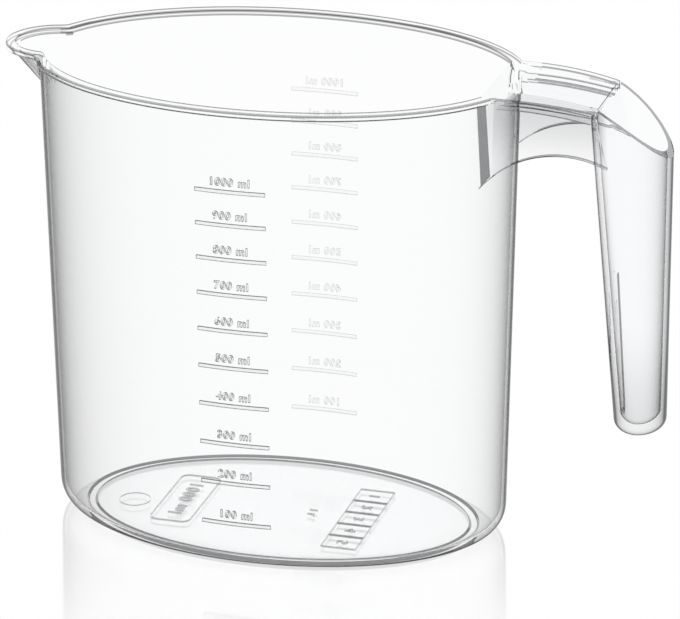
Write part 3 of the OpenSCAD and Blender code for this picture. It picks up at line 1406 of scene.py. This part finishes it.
@dataclass
class VolumeScale:
    """Ten raised bars with their volumes on one long face of the wall."""

    vessel: Vessel
    side: Side
    mark_first_h: float = 14.7
    mark_last_h: float = 114.7
    mark_count: int = 10
    mark_crowding_share: float = 0.13
    mark_l: float = 20.2
    mark_w: float = 1.1
    mark_out: float = 0.35
    mark_soft_w: float = 0.14
    mark_steps: int = 22
    sink: float = 0.35
    gap: float = 1.25
    lettering: Lettering = field(default_factory=Lettering)

    def height(self, index: int) -> float:
        """Returns the height of a mark above the table."""
        filled = index / (self.mark_count - 1)
        crowd = self.mark_crowding_share
        span = self.mark_last_h - self.mark_first_h
        return self.mark_first_h + span * (filled * (1 + crowd) - filled**2 * crowd)

    def wrap(self, solid: Solid, z: float) -> Solid:
        """Lays a flat solid on the wall.

        Args:
            solid: The solid.
            z: The height of its origin.

        Returns:
            The same solid.
        """
        across = -self.side.value
        for vert in solid.mesh.verts:
            x, up, out = (c / MM for c in vert.co)
            vert.co = self.vessel.on_wall(across * x, z + up, self.side, out)
        return solid

    def bar(self, index: int) -> Solid:
        """Makes one raised bar.

        Args:
            index: Its number, from 0 for the lowest.

        Returns:
            The closed solid on the wall.
        """
        solid = Solid(f"bar_{index}")
        mesh = solid.mesh
        size = Vector((self.mark_l, self.mark_w, 1)) * MM
        bmesh.ops.create_grid(mesh, x_segments=self.mark_steps, y_segments=1, size=0.5)
        bmesh.ops.scale(mesh, verts=mesh.verts, vec=size)
        solid.shift(Vector((0, 0, -self.sink * MM)))
        raised = bmesh.ops.extrude_face_region(mesh, geom=list(mesh.faces))
        upper = [g for g in raised["geom"] if isinstance(g, Vert)]
        solid.shift(Vector((0, 0, (self.sink + self.mark_out) * MM)), upper)
        crown = [
            e for e in mesh.edges
            if all(v in upper for v in e.verts) and e.calc_face_angle(0) > 1
        ]
        soften(mesh, crown, self.mark_soft_w)
        return self.wrap(solid, self.height(index))

    def build(self) -> list[Solid]:
        """Returns the bars and their volumes."""
        made = []
        for index in range(self.mark_count):
            made.append(self.bar(index))
            words = f"{100 * (index + 1)} ml"
            label = self.lettering.solid(words)
            made.append(self.wrap(label, self.height(index) + self.mark_w / 2 + self.gap))
        return made


@dataclass
class FloorMarks:
    """Plain raised marks under the floor: the content, a panel and a gate ring."""

    vessel: Vessel
    rise: float = 0.3
    sink: float = 0.3
    line_w: float = 0.3
    panel_at: tuple[float, float] = (23.7, -1.7)
    panel_size: tuple[float, float] = (10.6, 42.0)
    panel_cells: int = 5
    frame_at: tuple[float, float] = (-29.2, -1.3)
    frame_size: tuple[float, float] = (12.4, 33.0)
    frame_corner: float = 2.6
    content_at: tuple[float, float] = (9.4, -0.8)
    gate_at: tuple[float, float] = (-43.2, -6.3)
    gate_r: float = 4.7
    gate_rise: float = 0.06
    frame_text: float = 6.0
    content_text: float = 3.4
    numeral_text: float = 4.6
    text_drop: float = 0.36
    cell_gap: float = 0.02
    cell_corner: float = 0.3
    corner_steps: int = 6
    least_corner: float = 0.05

    def lay(self, solid: Solid, at: tuple[float, float]) -> Solid:
        """Turns a flat solid face down along -Y and sets it under the floor.

        Args:
            solid: The solid.
            at: The place of its origin.

        Returns:
            The same solid.
        """
        low = self.vessel.foot_ring_h * MM
        for vert in solid.mesh.verts:
            x, y, out = vert.co
            vert.co = Vector((at[0] * MM - y, at[1] * MM - x, low - out))
        return solid

    def line(
        self, name: str, half_l: float, half_w: float, corner: float, rise: float = 0.3
    ) -> Solid:
        """Makes a raised line round a rectangle with rounded corners.

        Args:
            name: The solid's name.
            half_l: The rectangle's half length.
            half_w: Its half width.
            corner: Its corners' radius.
            rise: The line's height above the floor.

        Returns:
            The closed solid.
        """

        def loop(inset: float, out: float) -> list[Vector]:
            """Draws one loop of the line.

            Args:
                inset: How far it lies inside the rectangle.
                out: How far it lies above the floor.

            Returns:
                The points of the loop.
            """
            places = []
            reach = max(corner - inset, self.least_corner)
            for index in range(4):
                side_x = 1 if index in (0, 3) else -1
                side_y = 1 if index in (0, 1) else -1
                for step in range(self.corner_steps + 1):
                    a = math.pi / 2 * index + math.pi / 2 * step / self.corner_steps
                    x = side_x * (half_l - inset - reach) + reach * math.cos(a)
                    y = side_y * (half_w - inset - reach) + reach * math.sin(a)
                    places.append(Vector((x, y, out)) * MM)
            return places

        inner, under = self.line_w, -self.sink
        loops = [loop(0, under), loop(0, rise), loop(inner, rise), loop(inner, under)]
        solid = Solid(name).loft(loops, False, False)
        edges = [e for e in solid.mesh.edges if len(e.link_faces) == 1]
        bmesh.ops.bridge_loops(solid.mesh, edges=edges)
        return solid

    def words(self, text: str, size: float, at: tuple[float, float]) -> Solid:
        """Makes lettering centred at a place under the floor.

        Args:
            text: The words.
            size: Their size.
            at: The place of their middle.

        Returns:
            The closed solid.
        """
        lettering = Lettering(size=size, weight=0.0, rise=self.rise, sink=self.sink)
        solid = lettering.solid(text)
        solid.shift(Vector((0, -self.text_drop * size * MM, 0)))
        return self.lay(solid, at)

    def build(self) -> list[Solid]:
        """Returns all the marks under the floor."""
        wide, long = self.panel_size
        frame_w, frame_l = self.frame_size
        frame = self.line("frame", frame_l / 2, frame_w / 2, self.frame_corner)
        r = self.gate_r
        made = [
            self.lay(frame, self.frame_at),
            self.words("1000 ml", self.frame_text, self.frame_at),
            self.words("1 L", self.content_text, self.content_at),
            self.lay(self.line("gate", r, r, r, self.gate_rise), self.gate_at),
        ]
        cell = long / self.panel_cells
        for index in range(self.panel_cells):
            y = self.panel_at[1] + long / 2 - cell * (index + 0.5)
            place = (self.panel_at[0], y)
            half = cell / 2 - self.cell_gap
            box = self.line(f"cell_{index}", half, wide / 2, self.cell_corner)
            made.append(self.lay(box, place))
            made.append(self.words(str(index + 1), self.numeral_text, place))
        return made


# --------------------------------------------------------------------------
# Welding
# --------------------------------------------------------------------------


@dataclass
class Workshop:
    """Welds solids to one shell and parts it into the shown pieces."""

    finishes: dict[tuple[Region, Kind], bpy.types.Material]
    shell_crease: float = 38.0
    mark_crease: float = 32.0
    brink_w: float = 0.42
    brink_turn: float = 30.0
    brink_edge_share: float = 0.4
    upright: float = 0.5
    foot_side_top: float = 0.95
    foot_side_upright: float = 0.8
    joint_x: float = 71.5
    joint_edge_x: float = 66.0
    mouth_x: float = 95.5
    mouth_z: float = 100.0
    mouth_rise: float = 0.35
    chamfer_turn: float = 0.38
    chamfer_x: float = 68.0
    chamfer_y: float = -16.5
    chamfer_z: float = 136.8

    def bring(self, solid: Solid) -> bpy.types.Object:
        """Finishes a solid, gives it the regions' slots and links it."""
        made = solid.finish()
        for region in Region:
            made.data.materials.append(self.finishes[region, Kind.PLAIN])
        bpy.context.scene.collection.objects.link(made)
        return made

    def show(
        self,
        mesh: bmesh.types.BMesh,
        name: str,
        finishes: Sequence[bpy.types.Material],
        crease: float,
    ) -> bpy.types.Object:
        """Makes a piece of a worked bmesh.

        Args:
            mesh: The bmesh.
            name: The piece's name.
            finishes: Its materials, in the order of their slots.
            crease: The angle in degrees from which an edge is sharp.

        Returns:
            The piece.
        """
        data = mesh_data(mesh, name)
        for finish in finishes:
            data.materials.append(finish)
        data.set_sharp_from_angle(angle=math.radians(crease))
        LOG.info("piece %s: %d faces", name, len(data.polygons))
        return placed(name, data)

    def gather(
        self, solids: Iterable[Solid], name: str, finish: bpy.types.Material
    ) -> bpy.types.Object:
        """Joins small solids into one piece.

        Args:
            solids: The solids.
            name: The piece's name.
            finish: The piece's material.

        Returns:
            The piece.
        """
        joined = bmesh.new()
        for solid in solids:
            one = solid.finish()
            joined.from_mesh(one.data)
            self.drop(one)
        return self.show(joined, name, [finish], self.mark_crease)

    def weld(
        self, base: bpy.types.Object, tool: bpy.types.Object, operation: Weld = Weld.JOIN
    ) -> None:
        """Unites a tool with the base, or cuts it away, and drops the tool.

        Args:
            base: The object that is changed.
            tool: The object that is joined or cut away.
            operation: What is done with the tool.
        """
        step = base.modifiers.new("weld", "BOOLEAN")
        step.object = tool
        step.operation = operation.value
        step.solver = "MANIFOLD"
        depsgraph = bpy.context.evaluated_depsgraph_get()
        depsgraph.update()
        data = bpy.data.meshes.new_from_object(base.evaluated_get(depsgraph))
        counts = len(base.data.polygons), len(data.polygons)
        LOG.info("weld %s: %d to %d faces", tool.name, *counts)
        base.modifiers.clear()
        old = base.data
        base.data = data
        bpy.data.meshes.remove(old)
        self.drop(tool)

    def drop(self, thing: bpy.types.Object) -> None:
        """Removes a helper object and its mesh."""
        data = thing.data
        bpy.data.objects.remove(thing)
        bpy.data.meshes.remove(data)

    def is_brink(self, face: Face) -> bool:
        """Tells whether a face belongs to a tight rounded edge.

        Args:
            face: The face.

        Returns:
            Whether it is narrow and turned against its neighbours.
        """
        longest = max(edge.calc_length() for edge in face.edges)
        if longest <= 0 or face.calc_area() / longest > self.brink_w * MM:
            return False
        turns = [
            edge.calc_face_angle(0.0)
            for edge in face.edges
            if edge.calc_length() > self.brink_edge_share * longest
        ]
        return sum(turns) > math.radians(self.brink_turn)

    def is_foot_side(self, face: Face) -> bool:
        """Tells whether a face belongs to the upright sides of the foot ring."""
        low = face.calc_center_median().z < self.foot_side_top * MM
        return low and abs(face.normal.z) < self.foot_side_upright

    def is_joint(self, face: Face) -> bool:
        """Tells whether a face lies where the bridge meets the wall."""
        reach = self.joint_x if abs(face.normal.z) < self.upright else self.joint_edge_x
        return face.calc_center_median().x < reach * MM

    def is_mouth(self, face: Face) -> bool:
        """Tells whether a face belongs to the edge of the grip's mouth."""
        x, _, z = face.calc_center_median() / MM
        return x > self.mouth_x and z > self.mouth_z and face.normal.z > self.mouth_rise

    def is_chamfer(self, face: Face) -> bool:
        """Tells whether a face belongs to the chamfer from a cheek to the wall."""
        x, y, z = face.calc_center_median() / MM
        along, across, up = face.normal
        turned = along > self.chamfer_turn and across < 0 and abs(up) < self.upright
        return turned and x < self.chamfer_x and y < self.chamfer_y and z < self.chamfer_z

    def kind(self, face: Face, region: Region) -> Kind:
        """Tells what kind of face of a region a face is.

        Args:
            face: The face.
            region: The region that it belongs to.

        Returns:
            The kind.
        """
        if region is Region.VESSEL:
            deep_shade, brink = self.is_foot_side(face), self.is_brink(face)
        else:
            deep_shade = self.is_chamfer(face)
            brink = self.is_mouth(face) or (self.is_brink(face) and not self.is_joint(face))
        return Kind.SEAM if deep_shade else Kind.BRINK if brink else Kind.PLAIN

    def part(self, shell: bpy.types.Object, region: Region, name: str) -> bpy.types.Object:
        """Takes the faces of one region of the shell as a piece.

        Args:
            shell: The welded shell, which is kept.
            region: The region.
            name: The piece's name.

        Returns:
            The piece.
        """
        mesh = bmesh.new()
        mesh.from_mesh(shell.data)
        others = [f for f in mesh.faces if f.material_index != region.value]
        bmesh.ops.delete(mesh, geom=others, context="FACES")
        kinds = [self.kind(face, region) for face in mesh.faces]
        for face, kind in zip(mesh.faces, kinds):
            face.material_index = kind.value
            face.smooth = True
        finishes = [self.finishes[region, kind] for kind in Kind]
        return self.show(mesh, name, finishes, self.shell_crease)


# --------------------------------------------------------------------------
# Studio
# --------------------------------------------------------------------------


@dataclass(frozen=True)
class Lamp:
    """A large square lamp that faces the jug."""

    name: str
    place: tuple[float, float, float]
    size: float
    power: float

    def build(self, aim_at: Vector) -> bpy.types.Object:
        """Makes the lamp, which clear plastic and the floor don't mirror.

        Args:
            aim_at: The point that it faces.

        Returns:
            The lamp.
        """
        data = bpy.data.lights.new(self.name, "AREA")
        data.shape = "SQUARE"
        data.size = self.size
        data.energy = self.power
        made = placed(self.name, data)
        made.location = self.place
        made.visible_glossy = False
        made.visible_transmission = False
        aim = aim_at - Vector(self.place)
        made.rotation_euler = aim.to_track_quat("-Z", "Y").to_euler()
        return made


@dataclass
class Studio:
    """Camera, white sweep and plain soft lamps."""

    azimuth: float = 16.55
    elevation: float = 21.40
    roll: float = -0.2
    distance: float = 1192.3
    look_h: float = 63.21
    look_side: float = 17.12
    focal_px: float = 4157.0
    sensor_w: float = 36.0
    sight: tuple[float, float] = (0.01, 50.0)
    floor_half_l: float = 6.0
    lamps: tuple[Lamp, ...] = (
        Lamp("lamp_left", (-1.3, -0.5, 1.0), 1.0, 9.0),
        Lamp("lamp_right", (1.4, -0.9, 0.9), 0.8, 6.0),
        Lamp("lamp_top", (0.1, 0.5, 1.7), 1.2, 9.0),
    )
    lamps_aim: tuple[float, float, float] = (0.02, 0.0, 0.07)
    world_light: float = 0.5
    see_through: int = 32

    def camera(self) -> bpy.types.Object:
        """Returns the camera at the photograph's viewing angle."""
        turn, up = math.radians(self.azimuth), math.radians(self.elevation)
        flat = math.cos(up)
        back = Vector((math.sin(turn) * flat, -math.cos(turn) * flat, math.sin(up)))
        level = (-back).cross(Vector((0, 0, 1))).normalized()
        upward = level.cross(-back)
        lean = math.radians(self.roll)
        right = level * math.cos(lean) + upward * math.sin(lean)
        above = upward * math.cos(lean) - level * math.sin(lean)
        target = Vector((0, 0, self.look_h)) + level * self.look_side
        data = bpy.data.cameras.new("camera")
        data.sensor_width = self.sensor_w
        data.lens = self.focal_px * data.sensor_width / PHOTO_WIDTH
        data.clip_start, data.clip_end = self.sight
        made = placed("camera", data)
        turned = Matrix((right, above, back)).transposed().to_4x4()
        turned.translation = (target + back * self.distance) * MM
        made.matrix_world = turned
        bpy.context.scene.camera = made
        return made

    def sweep(self) -> bpy.types.Object:
        """Returns the white floor."""
        mesh = bmesh.new()
        bmesh.ops.create_grid(mesh, x_segments=2, y_segments=2, size=self.floor_half_l)
        data = mesh_data(mesh, "sweep")
        data.materials.append(WhiteSweep().material())
        made = placed("sweep", data)
        return made

    def world(self) -> None:
        """Sets a plain white surrounding that is dimmer as a light."""
        world = bpy.data.worlds.new("surrounding")
        bpy.context.scene.world = world
        bench = Bench(world)
        strength = bench.seen() * (1.0 - self.world_light) + self.world_light
        sky = bench.node(
            "ShaderNodeBackground", inputs={"Color": WHITE, "Strength": strength}
        )
        bench.node("ShaderNodeOutputWorld", inputs={"Surface": sky.outputs[0]})

    def build(self) -> None:
        """Builds the studio."""
        bpy.context.scene.view_settings.view_transform = "Standard"
        bpy.context.scene.cycles.transparent_max_bounces = self.see_through
        self.camera()
        self.sweep()
        self.world()
        for lamp in self.lamps:
            lamp.build(Vector(self.lamps_aim))


# --------------------------------------------------------------------------
# Assembly
# --------------------------------------------------------------------------

VESSEL_NODES = ("vessel_wall", "vessel_floor", "foot_ring", "rim_flange", "pouring_spout")
HANDLE_NODES = (
    "bridge_web", "bridge_flange_front", "bridge_flange_back", "bridge_cheek_front",
    "bridge_cheek_back", "grip_shell", "grip_rib",
)


def plastics() -> dict[tuple[Region, Kind], bpy.types.Material]:
    """Returns the clear plastic of each kind of face in each region, with painted shade."""
    vessel = ClearPlastic("vessel_plain", clear_above=136.5)
    handle = ClearPlastic(
        "handle_plain",
        face_colour=(0.975, 0.978, 0.983),
        axis_x=103.0,
        outer_reach=3.0,
        shade_colour=(0.02, 0.0206, 0.0225),
        shade=2.0,
        shade_power=2.2,
        low_shade=0.2,
        high_shade=0.25,
        roughness=0.05,
        haze=0.08,
    )
    # Painted shade: dark colours for the tight rounded edges and the grip's mouth.
    edge = {"face_colour": (0.12, 0.121, 0.126), "clear_above": 2.0}
    # Painted shade, darker still, for the foot ring's sides and the front cheek's chamfer.
    deep_shade = {"face_colour": (0.09, 0.091, 0.095), "clear_above": 2.0}
    made = {
        (Region.VESSEL, Kind.PLAIN): vessel,
        (Region.VESSEL, Kind.BRINK): replace(
            vessel, name="vessel_brink_shade", top_shading_colour=(0.33, 0.332, 0.34), **edge
        ),
        (Region.VESSEL, Kind.SEAM): replace(vessel, name="vessel_deep_shade", **deep_shade),
        (Region.HANDLE, Kind.PLAIN): handle,
        (Region.HANDLE, Kind.BRINK): replace(
            handle, name="handle_brink_shade", top_shading_colour=(0.2, 0.202, 0.21), high_shade=0.0, **edge
        ),
        (Region.HANDLE, Kind.SEAM): replace(
            handle, name="handle_deep_shade", high_shade=0.0, **deep_shade
        ),
    }
    return {key: finish.material() for key, finish in made.items()}


def main() -> None:
    """Builds the jug on its frame, in order."""
    logging.basicConfig(level=logging.INFO, format="%(message)s", stream=sys.stdout)
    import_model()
    Studio().build()

    workshop = Workshop(plastics())
    vessel = Vessel()
    handle = Handle(vessel)
    shell = workshop.bring(vessel.build())
    cheeks = [handle.cheek(side) for side in Side]
    for part in (handle.deck(), *cheeks, handle.grip()):
        workshop.weld(shell, workshop.bring(part))
    workshop.weld(shell, workshop.bring(handle.recess()), Weld.CUT)
    workshop.weld(shell, workshop.bring(handle.rib()))
    marks = {
        Side.FRONT: RaisedMark("front_marks").material(),
        Side.BACK: RaisedMark("back_marks", flank_share=0.3, face_share=0.04).material(),
    }
    floor_marks = RaisedMark(
        "floor_marks",
        outward=Outward.FROM_FLOOR,
        top_shading_colour=(0.35, 0.35, 0.36),
        flank_share=0.42,
        face_share=0.03,
    ).material()
    rows = [
        (workshop.part(shell, Region.VESSEL, "vessel_shell"), VESSEL_NODES),
        (workshop.part(shell, Region.HANDLE, "handle_shell"), HANDLE_NODES),
    ]
    workshop.drop(shell)
    for side in Side:
        name = f"scale_{side.name.lower()}"
        piece = workshop.gather(VolumeScale(vessel, side).build(), name, marks[side])
        rows.append((piece, (f"scale_marks_{side.name.lower()}",)))
    rows.append((workshop.gather(FloorMarks(vessel).build(), "floor_marks", floor_marks), ()))
    for piece, nodes in rows:
        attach(piece, "root")
        if nodes:
            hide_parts(*nodes)


if __name__ == "__main__":
    main()
